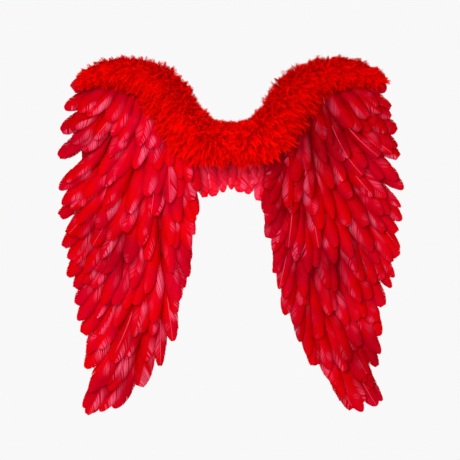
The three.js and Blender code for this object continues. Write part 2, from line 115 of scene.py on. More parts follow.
def unit(ways):
    return ways / np.linalg.norm(ways, axis=-1, keepdims=True)


def on_wing(side, out, z, up):
    """The points at distances out from the middle, at heights, and up off the boards' front."""
    start = PAD_WIDTH / 2
    share = np.maximum(0, out - start) / (HALF_SPAN - start)
    out, z, up, share = np.broadcast_arrays(out, z, up, share)
    return np.stack([side * out, -(BOARD_FRONT + up) - SWEEP * share**2, z], axis=-1)


def row_at(out, z):
    """Which row a point of a wing is in, counted down from the top."""
    down = (RISE - z) / HEIGHT
    spine = level(down, "spine") * HALF_SPAN
    off = out - spine
    outward = off > 0
    reach = np.abs(np.where(outward, level(down, "outer"), level(down, "inner")) * HALF_SPAN - spine)
    slope = np.tan(np.radians(level(down, "spine_lean")))
    edge = np.tan(np.radians(np.where(outward, level(down, "outer_lean"), level(down, "inner_lean"))))
    within = np.minimum(np.abs(off), reach)
    bent = np.sign(off) * within * (np.abs(off) - within / 2) / reach
    return (RISE - z + slope * off + (edge - slope) * bent) / ROW_SPACING


def down_row(out, z):
    """The way in which row_at grows fastest, and how fast."""
    slope = np.stack(
        [(row_at(out + 1, z) - row_at(out - 1, z)) / 2, (row_at(out, z + 1) - row_at(out, z - 1)) / 2],
        axis=-1,
    )
    steepness = np.linalg.norm(slope, axis=-1)
    return slope / steepness[..., None], steepness


def outward_share(out, down):
    """How far out from the spine a point lies, as a share of the way to the wing's outer edge."""
    spine = level(down, "spine")
    return (out - spine * HALF_SPAN) / ((level(down, "outer") - spine) * HALF_SPAN)


def height_of_row(out, row):
    """How high a row's line lies at distances out from the middle."""
    z = RISE - row * ROW_SPACING
    for _ in range(TRIES):
        z = z + (row_at(out, z) - row) * ROW_SPACING * STRIDE
    return z


def row_end(row, column):
    """How far out a row meets the wing's inner or outer edge."""
    out = 0.6 * HALF_SPAN
    for _ in range(TRIES):
        down = (RISE - height_of_row(out, row)) / HEIGHT
        out = out + (level(down, column) * HALF_SPAN - out) * STRIDE
    return out


def tips_of(row, extra):
    """How far out each tip of a row is, evenly along the row's line."""
    out = np.linspace(row_end(row, "inner"), row_end(row, "outer"), 60)
    length = np.concatenate([[0], np.cumsum(np.hypot(np.diff(out), np.diff(height_of_row(out, row))))])
    count = max(2, math.floor(length[-1] / FEATHER_PITCH + 0.5) + 1) + extra
    return np.interp(np.linspace(0, length[-1], count), length, out)


def run_of(points):
    """The length along a line up to each of its points."""
    return np.concatenate([[0], np.cumsum(np.linalg.norm(np.diff(points, axis=0), axis=1))])


def at_lengths(at, length, points):
    """What lies at some lengths along a line, for points at the given lengths."""
    return np.stack([np.interp(at, length, column) for column in points.T], axis=-1)


def smooth_line(points, count):
    """Points evenly along a centripetal curve through points, with the way along it at each."""
    points = np.asarray(points, float)
    padded = np.vstack([2 * points[0] - points[1], points, 2 * points[-1] - points[-2]])
    dense = []
    for i in range(len(points) - 1):
        a, b, c, d = padded[i : i + 4]
        steps = np.sqrt([np.linalg.norm(b - a), np.linalg.norm(c - b), np.linalg.norm(d - c)])
        out_way = ((b - a) / steps[0] - (c - a) / (steps[0] + steps[1]) + (c - b) / steps[1]) * steps[1]
        in_way = ((c - b) / steps[1] - (d - b) / (steps[1] + steps[2]) + (d - c) / steps[2]) * steps[1]
        t = np.linspace(0, 1, 24, endpoint=i == len(points) - 2)[:, None]
        hermite = (2 * t**3 - 3 * t**2 + 1) * b + (t**3 - 2 * t**2 + t) * out_way
        dense.append(hermite + (3 * t**2 - 2 * t**3) * c + (t**3 - t**2) * in_way)
    dense = np.vstack(dense)
    length = run_of(dense)
    line = at_lengths(np.linspace(0, length[-1], count), length, dense)
    return line, unit(np.gradient(line, axis=0))


def bowed(start, bend, end, t):
    """Points at shares t of a curve from start to end, pulled towards bend."""
    return (1 - t) ** 2 * start + 2 * t * (1 - t) * bend + t**2 * end


# Meshes


class Heap:
    """Collects grids of points, which become one mesh."""

    def __init__(self):
        self.points, self.quads, self.values, self.places = [], [], {}, []
        self.count = 0

    def add(self, grids, places=None, closed=False, **values):
        """Adds grids of shape (..., rows, columns, 3), with values for each point and places on a map."""
        rows, columns = grids.shape[-3:-1]
        flat = grids.reshape(-1, rows, columns, 3)
        index = np.arange(len(flat) * rows * columns).reshape(len(flat), rows, columns) + self.count
        if closed:
            index = np.concatenate([index, index[:, :, :1]], axis=2)
        corners = [index[:, :-1, :-1], index[:, :-1, 1:], index[:, 1:, 1:], index[:, 1:, :-1]]
        self.points.append(flat.reshape(-1, 3))
        self.quads.append(np.stack(corners, axis=-1).reshape(-1, 4))
        for name, value in values.items():
            spread = np.broadcast_to(np.asarray(value, float), grids.shape[:-1]).reshape(-1)
            self.values.setdefault(name, []).append(spread)
        if places is None:
            places = np.zeros(2)
        self.places.append(np.broadcast_to(places, (*grids.shape[:-1], 2)).reshape(-1, 2))
        self.count += flat.size // 3

    def piece(self, name, material, slot, *nodes):
        """Makes the mesh, hangs it on the frame and lets it stand for the frame's nodes."""
        points = np.concatenate(self.points) * MM
        quads = np.concatenate(self.quads)
        mesh = bpy.data.meshes.new(name)
        mesh.vertices.add(len(points))
        mesh.vertices.foreach_set("co", points.astype(np.float32).ravel())
        mesh.loops.add(quads.size)
        mesh.loops.foreach_set("vertex_index", quads.astype(np.int32).ravel())
        mesh.polygons.add(len(quads))
        mesh.polygons.foreach_set("loop_start", np.arange(0, quads.size, 4, dtype=np.int32))
        mesh.polygons.foreach_set("use_smooth", np.full(len(quads), True))
        for key, parts in self.values.items():
            mesh.attributes.new(key, "FLOAT", "POINT").data.foreach_set("value", np.concatenate(parts))
        if any(p.any() for p in self.places):
            places = np.concatenate(self.places)[quads.ravel()].astype(np.float32)
            mesh.uv_layers.new(name="OFBake").data.foreach_set("uv", places.ravel())
        mesh.update(calc_edges=True)
        mesh.validate()
        mesh.materials.append(material)
        obj = bpy.data.objects.new(name, mesh)
        bpy.context.scene.collection.objects.link(obj)
        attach(obj, "root")
        if nodes:
            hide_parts(*nodes)
        return obj


# Materials


class Nodes:
    """A short way to write a material's nodes."""

    def __init__(self, name, roughness, specular=0.5):
        self.material = bpy.data.materials.new(name)
        self.material.use_nodes = True
        self.tree = self.material.node_tree
        self.shader = self.tree.nodes["Principled BSDF"]
        self.shader.inputs["Roughness"].default_value = roughness
        self.shader.inputs["Specular IOR Level"].default_value = specular

    def set(self, socket, value):
        if isinstance(value, bpy.types.NodeSocket):
            self.tree.links.new(value, socket)
        else:
            socket.default_value = value

    def value(self, name):
        node = self.tree.nodes.new("ShaderNodeAttribute")
        node.attribute_name = name
        return node.outputs["Fac"]

    def math(self, operation, *values):
        node = self.tree.nodes.new("ShaderNodeMath")
        node.operation = operation
        for socket, value in zip(node.inputs, values):
            self.set(socket, value)
        return node.outputs[0]

    def spread(self, value, low, high, to_low=0.0, to_high=1.0):
        node = self.tree.nodes.new("ShaderNodeMapRange")
        for socket, item in zip(node.inputs, (value, low, high, to_low, to_high)):
            self.set(socket, item)
        return node.outputs[0]

    def mix(self, share, a, b):
        node = self.tree.nodes.new("ShaderNodeMix")
        node.data_type = "RGBA"
        self.set(node.inputs[0], share)
        self.set(node.inputs[6], a)
        self.set(node.inputs[7], b)
        return node.outputs[2]

    def place(self):
        return self.tree.nodes.new("ShaderNodeTexCoord").outputs["Object"]

    def noise(self, scale, detail=3.0, stretch=(1, 1, 1)):
        node = self.tree.nodes.new("ShaderNodeTexNoise")
        mapping = self.tree.nodes.new("ShaderNodeMapping")
        mapping.inputs["Scale"].default_value = stretch
        self.tree.links.new(self.place(), mapping.inputs["Vector"])
        self.tree.links.new(mapping.outputs[0], node.inputs["Vector"])
        node.inputs["Scale"].default_value = scale
        node.inputs["Detail"].default_value = detail
        return node.outputs["Fac"]

    def bump(self, height, strength, distance):
        node = self.tree.nodes.new("ShaderNodeBump")
        self.set(node.inputs["Strength"], strength)
        self.set(node.inputs["Distance"], distance)
        self.set(node.inputs["Height"], height)
        self.tree.links.new(node.outputs[0], self.shader.inputs["Normal"])

    def colour(self, value):
        self.set(self.shader.inputs["Base Color"], value)
        return self.material


SCARLET = (0.68, 0.0, 0.0012, 1)
CRIMSON = (0.575, 0.0, 0.014, 1)
SHEEN_ROSE = (0.82, 0.004, 0.048, 1)
SHADE_RED = (0.2, 0.0, 0.0008, 1)
HIGHLIGHT_PINK = (1.0, 0.14, 0.26, 1)
RED_GLOSS = (1, 0.04, 0.1, 1)
FLUFF_RED = (0.96, 0.0, 0.0, 1)
FLUFF_TIP = (1.0, 0.006, 0.002, 1)
FLUFF_ROOT = (0.5, 0.0, 0.0, 1)
FELT_RED = (0.42, 0.002, 0.006, 1)
FELT_FIBRE = (0.56, 0.004, 0.01, 1)
THREAD_RED = (0.78, 0.01, 0.02, 1)
ELASTIC_RED = (0.5, 0.004, 0.01, 1)
RIB_PITCH = 1.1


def feather_material():
    n = Nodes("dyed_feather_painted_sheen_and_shade", roughness=0.42, specular=0.08)
    n.shader.inputs["Specular Tint"].default_value = RED_GLOSS
    patches = n.spread(n.noise(17, 5), 0.38, 0.62, -0.7, 0.7)
    feather_colour = n.mix(n.math("ADD", n.value("tint"), patches), SCARLET, CRIMSON)
    # Painted sheen: rose, then pink highlights, along the barb clumps
    satin = n.math("MULTIPLY", n.value("satin"), n.value("barb"))
    feather_colour = n.mix(n.spread(satin, 0, 0.45), feather_colour, SHEEN_ROSE)
    feather_colour = n.mix(n.spread(satin, 0.15, 1), feather_colour, HIGHLIGHT_PINK)
    # Painted shade, stronger in patches, mixed towards a deep red
    patchy = n.math("ADD", n.value("shade"), n.spread(n.noise(9), 0.45, 0.65, 0, 0.3))
    shade = n.math("MULTIPLY", patchy, n.spread(n.noise(60), 0.3, 0.7, 0.8, 1.1))
    return n.colour(n.mix(shade, feather_colour, SHADE_RED))


def fluff_material():
    n = Nodes("marabou", roughness=0.9, specular=0.05)
    n.shader.inputs["Specular Tint"].default_value = RED_GLOSS
    # Painted shade darkens the fibres towards their roots and the core; painted light makes their tips a
    # little brighter and oranger
    colour = n.mix(n.spread(n.value("along"), 0, 0.5), FLUFF_ROOT, FLUFF_RED)
    colour = n.mix(n.spread(n.value("along"), 0.6, 1), colour, FLUFF_TIP)
    # A random tone per tuft and fibre, with the painted shade of a trim's outer part, mixes in the root's
    # dark red
    return n.colour(n.mix(n.spread(n.value("tuft"), 0, 1, 0, 0.5), colour, FLUFF_ROOT))


def felt_material():
    n = Nodes("felt", roughness=0.95, specular=0.04)
    fibres = n.noise(900, 6, (1, 1, 0.35))
    n.bump(fibres, 0.5, 0.0006)
    mottle = n.math("MULTIPLY", n.noise(30, 4), n.spread(fibres, 0.35, 0.65, 0.4, 1))
    return n.colour(n.mix(n.spread(mottle, 0.1, 0.6), FELT_RED, FELT_FIBRE))


def thread_material():
    n = Nodes("thread", roughness=0.6, specular=0.3)
    return n.colour(n.mix(n.noise(700, 2), THREAD_RED, FELT_RED))


def elastic_material():
    n = Nodes("ribbed_elastic", roughness=0.75, specular=0.25)
    rib = n.math("SINE", n.math("MULTIPLY", n.value("along"), 2 * math.pi / RIB_PITCH))
    n.bump(rib, 0.5, 0.0003)
    # Lighter on the ribs' crests and darker in their grooves, more so in some patches
    worn = n.math("MULTIPLY", n.spread(rib, -1, 1), n.spread(n.noise(400, 3), 0.3, 0.7))
    return n.colour(n.mix(worn, ELASTIC_RED, THREAD_RED))


FEATHER = feather_material()
FLUFF = fluff_material()
FELT = felt_material()
THREAD = thread_material()
ELASTIC = elastic_material()

# Feathers

BARBS = 56  # strips of barbs on each side of a feather
ACROSS = np.array([0, 0.3, 0.6, 0.85, 1])
UP_A_STRIP = np.array([0, 0.5, 1])
BARE_QUILL = 0.12  # share of a feather's length below its vane
OVERLAP = 1.4  # of a strip over the next one, in strips
SLANT = 0.5  # how far up a strip's end lies, as a share of the length that is left above its foot
NARROWED = 0.15  # how much of its width a strip loses towards its end
CAMBER = 1.4  # how far an edge drops below the quill
ROLL, ROLL_CHANGE = 0.095, 0.03  # how far a feather is tilted over the next one in its row
CURL, CURL_START = 4, 0.6  # the most that a tip bends up off the wing, and where it starts to
WIDEST = 0.57  # where a vane is widest, as a share of its feather's length
SIDE_WIDTHS = 0.9, 1.1  # how wide one side of a vane may be, as a share of half the feather
BLUNTNESS = 1.4, 3.6  # how blunt a tip may be
CLUMP_CHANGE, CLUMP_GOES_ON = 0.35, 0.35
SHINGLE, CLUMP_SHINGLE, CLUMP_LIFT = 0.2, 0.6, 0.4  # how far the strips stand up over each other
BUNDLE_ENDS, RAGGED = 0.22, 0.1  # how often a bundle of barbs ends, and how far it may fall short
BUNDLE_SHIFT, BARB_SHORT, BARB_CHANGE = 0.014, 0.03, 0.003
SPLIT_PLACES, SPLIT_WIDTHS, SPLIT_LENGTH = (0.5, 0.97), (-0.03, 0.007), 0.1  # a width below 0 is no split
WORN = 0.07  # how much of its tip a feather may have lost
VANE_END = 0.999
QUILL_RINGS, QUILL_END = 12, 0.985
QUILL_TAPER, QUILL_TIP, QUILL_RISE = 0.7, 0.15, 0.2
STRONG_QUILLS, STRONGER = 0.12, 0.4  # share of the feathers with a thicker quill, and how much thicker
CELL_HALF, MAP_TOP = 0.48, 0.96  # the part of a bake map that the barbs take up, in cells and in all
QUILL_PLACE, TAPE_PLACE = np.array([0.003, 0.985]), np.array([0.003, 0.99])
TAPE_SHARE = 0.9  # how much of the frame's tape thickness the tape has

# The dye's tint, with painted sheen and painted shade, which the feather material reads
# Random tint of the dye, and how much more crimson the half-vane turned to the light gets as painted sheen
TINT, SHEEN_TINT = (-0.05, 0.55), 0.5
# Painted sheen: how strong its spots are, where along a feather they lie, how long they are and how many a
# side has
SHEEN, SHEEN_PLACES, SHEEN_LENGTHS, SHEEN_SPOTS = (-0.7, 1), (0.45, 0.95), (0.04, 0.15), 3
UNLIT_SIDE_SHEEN = 0.4  # how much of the painted sheen the side turned from the light has
# Painted shade: darker towards a feather's root under the feathers above it, in the grooves and between the
# barb clumps towards a vane's edges, and more on some feathers
ROOT_SHADE, CLUMP_SHADE, GROOVE_SHADE, FEATHER_SHADE = 0.3, 0.17, 0.06, 0.14
SHADING = {-1: 0.7, 1: 1}  # how strong a wing's painted shade is
WING_PAINTED_SHADE = {-1: (0.03, 0.2), 1: (0.38, 0.25)}  # painted shade of a wing's first and last row


def vane_width(s, blunt):
    """The vane's half width along a feather, as a share of its largest. A blunter one has a larger blunt."""
    swell = np.clip(s / WIDEST, 0, 1)
    swell = 0.3 + 0.7 * (3 * swell**2 - 2 * swell**3) ** 0.8
    tip = np.clip((s - WIDEST) / (1 - WIDEST), 0, 1)
    return swell * (1 - tip**blunt) ** 0.55


def held(values, starts):
    """Values of a feather's strips, each kept up to the next strip that starts a new one."""
    for k in range(1, BARBS):
        values[:, :, k] = np.where(starts[:, :, k], values[:, :, k], values[:, :, k - 1])
    return values


def feathers(heap, side, root, middle, tip, width, height, lift, seed, painted_shade, more_painted_sheen=0.0):
    """Adds a row of feathers, each barbed on both sides of its quill. height gives how far up a point
    of the wing lies, and the last two how much painted shade is added (below 0 it is painted light) and how
    much more painted sheen."""
    rng = np.random.default_rng(seed)
    count = len(root)
    per_feather, per_side, per_strip = (1, 1, 1, 1), (2, 1, 1, 1), (2, BARBS, 1, 1)

    def each(low, high, *shape):
        return rng.uniform(low, high, (count, *shape))

    bend = 2 * middle - (root + tip) / 2
    curl = each(0, CURL)
    roll = side * ROLL + each(-ROLL_CHANGE, ROLL_CHANGE)
    tint = each(*TINT, *per_feather)
    sheen_strength = np.clip(each(*SHEEN, *per_side, SHEEN_SPOTS), 0, 1)
    shine_at = each(*SHEEN_PLACES, *per_side, SHEEN_SPOTS)
    shine_wide = each(*SHEEN_LENGTHS, *per_side, SHEEN_SPOTS)

    def surface(s, lateral):
        """The point of each feather at a share of its length and a distance from its quill."""
        extra = (1,) * (s.ndim - 1)
        p0, p1, p2 = (p.reshape(count, *extra, 2) for p in (root, bend, tip))
        t = s[..., None]
        way = unit(2 * (1 - t) * (p1 - p0) + 2 * t * (p2 - p1))
        flat = bowed(p0, p1, p2, t) + np.stack([-way[..., 1], way[..., 0]], axis=-1) * lateral[..., None]
        half = (width / 2).reshape(count, *extra)
        up = height(flat[..., 0], flat[..., 1]) + FEATHER_CROWN + lift.reshape(count, *extra)
        up = up + roll.reshape(count, *extra) * lateral - CAMBER * (lateral / half) ** 2
        bent = np.clip((s - CURL_START) / (1 - CURL_START), 0, 1) ** 2
        return flat, up + curl.reshape(count, *extra) * bent

    strip = np.arange(BARBS)[:, None, None]
    clump = each(0, CLUMP_CHANGE, *per_strip)
    starts = each(0, 1, *per_strip) > CLUMP_GOES_ON
    clump = held(clump + (1 - CLUMP_CHANGE) * (np.cumsum(starts, axis=2) % 2), starts)
    bundle = each(0, 1, *per_strip)
    bundle = held(bundle, each(0, 1, *per_strip) < BUNDLE_ENDS)
    v = ACROSS * (1 - BARB_SHORT * each(0, 1, *per_strip) ** 2 - RAGGED * bundle**2)
    u = 0.5 + (UP_A_STRIP[:, None] - 0.5) * (1 - NARROWED * ACROSS**3)
    r = BARE_QUILL + (1 - BARE_QUILL) * (strip + u * OVERLAP) / (BARBS + OVERLAP - 1)
    r = np.broadcast_to(r, (count, 2, BARBS, len(UP_A_STRIP), len(ACROSS)))
    split_at = each(*SPLIT_PLACES, *per_side, 2)
    split_by = each(*SPLIT_WIDTHS, *per_side, 2)
    past = r[..., None] - split_at
    opened = np.where(past > 0, np.exp(-past / SPLIT_LENGTH), 0) * np.maximum(0, split_by)
    s = r + SLANT * (1 - r) * v - opened.sum(axis=-1) * v**1.5 + BUNDLE_SHIFT * (bundle - 0.5) * v**4
    worn = WORN * each(0, 1, *per_feather) ** 3
    s = s + BARB_CHANGE * each(-1, 1, *per_strip) * v
    s = np.clip(s, 0, VANE_END - worn * (1 - 0.3 * bundle))
    sign = np.array([-1, 1]).reshape(2, 1, 1, 1)
    wide = each(*SIDE_WIDTHS, *per_side) * (width / 2).reshape(count, 1, 1, 1, 1)
    lateral = sign * wide * vane_width(s, each(*BLUNTNESS, *per_side)) * v
    flat, up = surface(s, lateral)
    up = up + (SHINGLE + CLUMP_SHINGLE * clump) * (UP_A_STRIP[:, None] - 0.5) * ACROSS
    up = up + CLUMP_LIFT * (clump - 0.5) * ACROSS

    cell = np.arange(count).reshape(count, 1, 1, 1, 1)
    place_u = (cell + 0.5 + CELL_HALF * sign * ACROSS) / count
    place_v = MAP_TOP * (strip + UP_A_STRIP[:, None]) / BARBS
    off_middle = np.abs(v - 0.5) * 2
    # Painted sheen in spots along each side of a feather, weaker on the side turned from the light
    sheen_window = (sheen_strength * np.exp(-(((s[..., None] - shine_at) / shine_wide) ** 2))).sum(axis=-1)
    ridge = 1 - np.abs(UP_A_STRIP[:, None] * 2 - 1)
    shade = np.clip(0.5 - s, 0, ROOT_SHADE)
    shade = shade + (CLUMP_SHADE * (1 - clump) + GROOVE_SHADE * (1 - ridge)) * ACROSS**0.5
    shade = shade + FEATHER_SHADE * each(0, 1, *per_feather) ** 2
    # Painted sheen: more crimson along the middle of the half-vane turned to the light
    lit_half = (sign < 0) * np.clip(1.2 - off_middle, 0, 1) * np.clip(s * 3 - 1.2, 0, 1)
    heap.add(
        on_wing(side, flat[..., 0], flat[..., 1], up),
        places=np.stack(np.broadcast_arrays(place_u, place_v + 0 * place_u), axis=-1),
        tint=tint + SHEEN_TINT * lit_half,
        satin=np.where(sign > 0, UNLIT_SIDE_SHEEN, 1.0) * sheen_window * np.clip(1.3 - off_middle, 0, 1) + more_painted_sheen,
        barb=np.clip((clump - 0.4) * 3 + 0.3 * ridge, 0.12, 1),
        shade=shade * SHADING[side] + painted_shade,
    )

    at = np.linspace(0, QUILL_END, QUILL_RINGS)[:, None]
    turn = np.linspace(0, 2 * np.pi, 5)[:-1] + np.pi / 4
    strong = (rng.random(count) < STRONG_QUILLS).reshape(count, 1, 1)
    thick = (QUILL_TAPER * (1 - at) + QUILL_TIP) * (1 + STRONGER * strong)
    s = at * np.ones(len(turn)) * (1 - worn.reshape(count, 1, 1))
    flat, up = surface(s, thick * np.cos(turn))
    # The quills get a little painted sheen, the thicker ones more
    heap.add(
        on_wing(side, flat[..., 0], flat[..., 1], up + QUILL_RISE + thick * np.sin(turn)),
        places=QUILL_PLACE,
        closed=True,
        tint=tint.reshape(count, 1, 1),
        satin=0.12 + 0.8 * strong,
        barb=0.8,
        shade=0.1,
    )


def tape(heap, side, roots, ways, height):
    """Adds the tape under a row's roots."""
    half = TAPE_WIDTH / 2
    above, below = roots - ways * half, roots + ways * half
    corners = [(above, 0), (below, 0), (below, 1), (above, 1)]
    rings = [on_wing(side, p[:, 0], p[:, 1], height + TAPE_SHARE * k * TAPE_THICKNESS) for p, k in corners]
    grid = np.stack(rings, axis=1)
    heap.add(grid, places=TAPE_PLACE, closed=True, tint=0.6, satin=0.0, barb=0.5, shade=0.7)


FEATHER_WIDTH, WIDTHS = 30, (0.82, 1.12)
LOW_ROWS, LOW_WIDTH = 9, 1.12  # from this row on, feathers are so much wider and every gap is filled
FILLED_GAPS = 0.4  # share of the gaps between two feathers of a row that have one more
WIDE_GAP = 44  # a gap this wide always has one more
GAP_SHIFT, GAP_TIPS, GAP_TURN = 5, (-0.2, 0.6), 7  # how the feathers in the gaps differ
EDGE_INSET, EDGE_TIPS, EDGE_TURN = (6, 11), (0.35, 0.55), 2  # the same for one more at a wing's edges
INNER_EDGE_ROWS, INNER_EDGE_INSET = 7, 3  # the rows with one more at the inner edge too
LIFT, LIFT_CHANGE, GAP_LIFT = 0.4, 0.3, -0.6
TAPE_INSET = 2  # how far below the board's edge a tape lies at least
STEPS = 6  # from a feather's tip to its root

# How the feathers of the photograph's two wings differ from the frame's, per side. A pair of numbers
# says from which share of the height to which a change grows in.
UPRIGHT, UPRIGHT_FROM = 8, (0.4, 0.75)  # degrees by which the outer feathers stand straighter
TUCKED, TUCKED_FROM = {-1: 0, 1: 9}, (0.34, 0.2)  # how far the outermost upper feathers lie further in
FOOT = (0.86, 0.96)
SHORT_TIP, LOW_TIP = -0.3, {-1: 0.48, 1: 0.22}  # rows by which a foot's inner and outer feathers are longer
# Degrees by which the innermost feathers are turned away from the middle, down a wing
INNER_TURN = {"down": [0.7, 0.8, 0.92, 1], -1: [0, -8, -9, -4], 1: [0, 0, 2, 6]}


def grown_in(down, start, end):
    return np.clip((down - start) / (end - start), 0, 1)


def turned(line, about, angle):
    """The points of each feather, turned about one of them."""
    spin = np.stack([np.cos(angle), -np.sin(angle), np.sin(angle), np.cos(angle)], axis=-1)
    spin = spin.reshape(-1, 2, 2)
    return [about + np.einsum("nij,nj->ni", spin, p - about) for p in line]


def feather_tips(side, row, rng):
    """How far out a row's tips are, in which rows they lie, how each feather is turned, and how many of
    them the frame has too. Those come first, then the ones in the gaps and at the wing's edges."""
    tip_row = FIRST_TIPS + row
    place = tips_of(tip_row, row % 2)
    i = np.arange(len(place))
    inside = (i > 0) & (i < len(place) - 1)
    out = place + inside * SHIFT * scatter(row, i, side)
    tip = tip_row + inside * LENGTH_CHANGE * scatter(i, row, side + 5)
    turn = np.radians(np.where(inside, TURN, END_TURN)) * scatter(row + 3, i, side + 9)
    apart = np.hypot(np.diff(out), np.diff(height_of_row(out, tip_row)))
    filled = np.where((apart > WIDE_GAP) | (row >= LOW_ROWS), 1, FILLED_GAPS)
    gaps = np.flatnonzero(rng.random(len(place) - 1) < filled)
    between = (out[gaps] + out[gaps + 1]) / 2
    out = np.concatenate([out, between + rng.uniform(-GAP_SHIFT, GAP_SHIFT, len(gaps))])
    tip = np.concatenate([tip, tip_row + rng.uniform(*GAP_TIPS, len(gaps))])
    turn = np.concatenate([turn, np.radians(rng.uniform(-GAP_TURN, GAP_TURN, len(gaps)))])
    if row < ROWS - 1:
        edges = [place[-1] - rng.uniform(*EDGE_INSET)]
        if row < INNER_EDGE_ROWS:
            edges.append(place[0] + INNER_EDGE_INSET)
        out = np.concatenate([out, edges])
        tip = np.concatenate([tip, tip_row + rng.uniform(*EDGE_TIPS, len(edges))])
        turn = np.concatenate([turn, np.radians(rng.uniform(-EDGE_TURN, EDGE_TURN, len(edges)))])

    tip = np.minimum(tip, FIRST_TIPS + ROWS - 1)
    down = (RISE - height_of_row(out, tip)) / HEIGHT
    longer = np.interp(outward_share(out, down), [-1, 0, 1], [SHORT_TIP, 0, LOW_TIP[side]])
    tip = tip + grown_in(down, *FOOT) * longer
    inner, spine = level(down, "inner") * HALF_SPAN, level(down, "spine") * HALF_SPAN
    inward = np.clip((spine - out) / (spine - inner), 0, 1)
    turn = turn + np.radians(np.interp(down, INNER_TURN["down"], INNER_TURN[side])) * inward
    return out, tip, turn, len(place)


def feather_row(side, row):
    """The feathers of one row: one where the frame has each of them, and some more between them."""
    root_row = FIRST_TIPS + row - FEATHER_ROWS
    rng = np.random.default_rng(500 + 20 * row + side)
    out, tip, turn, in_frame = feather_tips(side, row, rng)
    point = np.stack([out, height_of_row(out, tip)], axis=-1)
    line = [point]
    for _ in range(STEPS):
        way, steepness = down_row(point[:, 0], point[:, 1])
        point = point - way * ((tip - root_row) / STEPS / steepness)[:, None]
        line.insert(0, point)
    line = turned(line, line[0], turn)
    down = (RISE - line[-1][:, 1]) / HEIGHT
    outward = np.clip(outward_share(line[-1][:, 0], down), 0, 1)
    upright = np.radians(UPRIGHT) * grown_in(down, *UPRIGHT_FROM) * outward
    line = turned(line, line[-1], -upright)
    tucked = TUCKED[side] * grown_in(down, *TUCKED_FROM) * outward
    line = [p - np.stack([tucked, 0 * tucked], axis=-1) for p in line]
    root, middle, end = line[0], line[STEPS // 2], line[-1]
    felt_top = RISE - HEIGHT * np.interp(root[:, 0] / HALF_SPAN, BOARD_SLICES["out"], BOARD_SLICES["top"])
    root[:, 1] = np.minimum(root[:, 1], felt_top - TAPE_WIDTH / 2 - TAPE_INSET)
    extra = np.arange(len(out)) >= in_frame
    lift = LIFT + rng.uniform(-LIFT_CHANGE, LIFT_CHANGE, len(out)) + GAP_LIFT * extra
    width = FEATHER_WIDTH * rng.uniform(*WIDTHS, len(out)) * (LOW_WIDTH if row >= LOW_ROWS else 1)

    def height(x, z):
        return LAID_GAP + ROW_LIFT * np.maximum(0, row_at(x, z) - root_row)

    heap = Heap()
    # Painted shade for this row, darker on the right wing
    painted_shade = np.interp(row, [0, ROWS - 1], WING_PAINTED_SHADE[side])
    feathers(heap, side, root, middle, end, width, height, lift, 100 * row + side + 5, painted_shade)
    ends = np.argsort(out[:in_frame])
    tape(heap, side, root[ends], down_row(root[ends, 0], root[ends, 1])[0], LAID_GAP)
    node = f"{NAMES[side]}_feather_row_{row + 1:02d}"
    heap.piece(f"{node}_barbed", FEATHER, "feather", node)


FRINGE_FEATHER_WIDTH, FRINGE_WIDTHS = 25, (0.82, 1.25)
FRINGE_SHORTER = 14, 24  # how much shorter every second feather is
FRINGE_DROP, FRINGE_SHIFT, FRINGE_BEND = 5, 2.5, 2
FRINGE_LIFT, FRINGE_SHORT_LIFT = 1.2, -0.8
# Painted light on the fringe, which lies in the trim's shadow (painted shade below 0), and more painted sheen
FRINGE_PAINTED_SHADE, FRINGE_PAINTED_SHEEN = -0.32, 0.2


def fringe():
    """The short feathers in the middle, with shorter ones between them."""
    rng = np.random.default_rng(23)
    count = 2 * FRINGE_FEATHERS - 1

    def change(most):
        return rng.uniform(-most, most, count)

    place = np.linspace(-1, 1, count)
    short = np.arange(count) % 2
    drop = -FRINGE_TIP_DROP - FRINGE_CURVE * np.abs(place) + short * rng.uniform(*FRINGE_SHORTER, count)
    drop = drop + change(FRINGE_DROP)
    tip = np.stack([place * FRINGE_HALF_WIDTH + change(FRINGE_SHIFT), drop], axis=-1)
    lean = np.tan(np.radians(FRINGE_LEAN) * place) * (FRINGE_ROOT_RISE + FRINGE_TIP_DROP)
    root = np.stack([tip[:, 0] + lean, np.full(count, FRINGE_ROOT_RISE)], axis=-1)
    middle = (root + tip) / 2 + np.stack([change(FRINGE_BEND), 0 * place], axis=-1)
    width = FRINGE_FEATHER_WIDTH * rng.uniform(*FRINGE_WIDTHS, count)

    def height(x, z):
        return LAID_GAP + FRINGE_SLOPE * np.maximum(0, FRINGE_ROOT_RISE - z) + 0 * x

    heap = Heap()
    lift = FRINGE_LIFT + FRINGE_SHORT_LIFT * short
    feathers(heap, 1, root, middle, tip, width, height, lift, 17, FRINGE_PAINTED_SHADE, FRINGE_PAINTED_SHEEN)
    tape(heap, 1, root, np.tile([0.0, -1.0], (count, 1)), LAID_GAP)
    heap.piece("middle_fringe_barbed", FEATHER, "feather", "middle_fringe")


# Trim

TUFTS_ALONG, TUFTS_AROUND, FIBRES, WISPS = 96, 20, 14, 300
TUFTED_ARC, WISP_ARC, WISP_SHARES = (-0.16, 1.32), (0.8, 1.14), (0.04, 0.98)  # arcs in half turns
FIBRE_LENGTH, FIBRE_WIDTH = 23, 0.75
FIBRE_TAPER = np.array([0.9, 1, 0.75, 0.15])
START_SPREAD, BOW_SPREAD, END_SPREAD = 3.1, 1.4, 1.2  # how far the fibres of a tuft lie apart
BOW = 3.5
SIDEWAYS, OUTWARD_AIM, HANG, AIM_CHANGE, FORWARD = (0.6, 1.2), [0.35, 0, 0.04], -0.3, 0.28, 0.16
TUFT_LENGTHS, WISP_REACH = (0.65, 1.15), 0.3
SKIN, SKIN_STEP = 0.8, 0.3  # where the fibres start, as a share of the core's half width and depth
CORE_BASE, CORE_LUMP, CORE_RINGS, CORE_SIDES = 0.35, 0.07, 90, 24
TONE, TONE_PER_TUFT, TONE_PER_FIBRE = 0.27, 0.25, 0.12
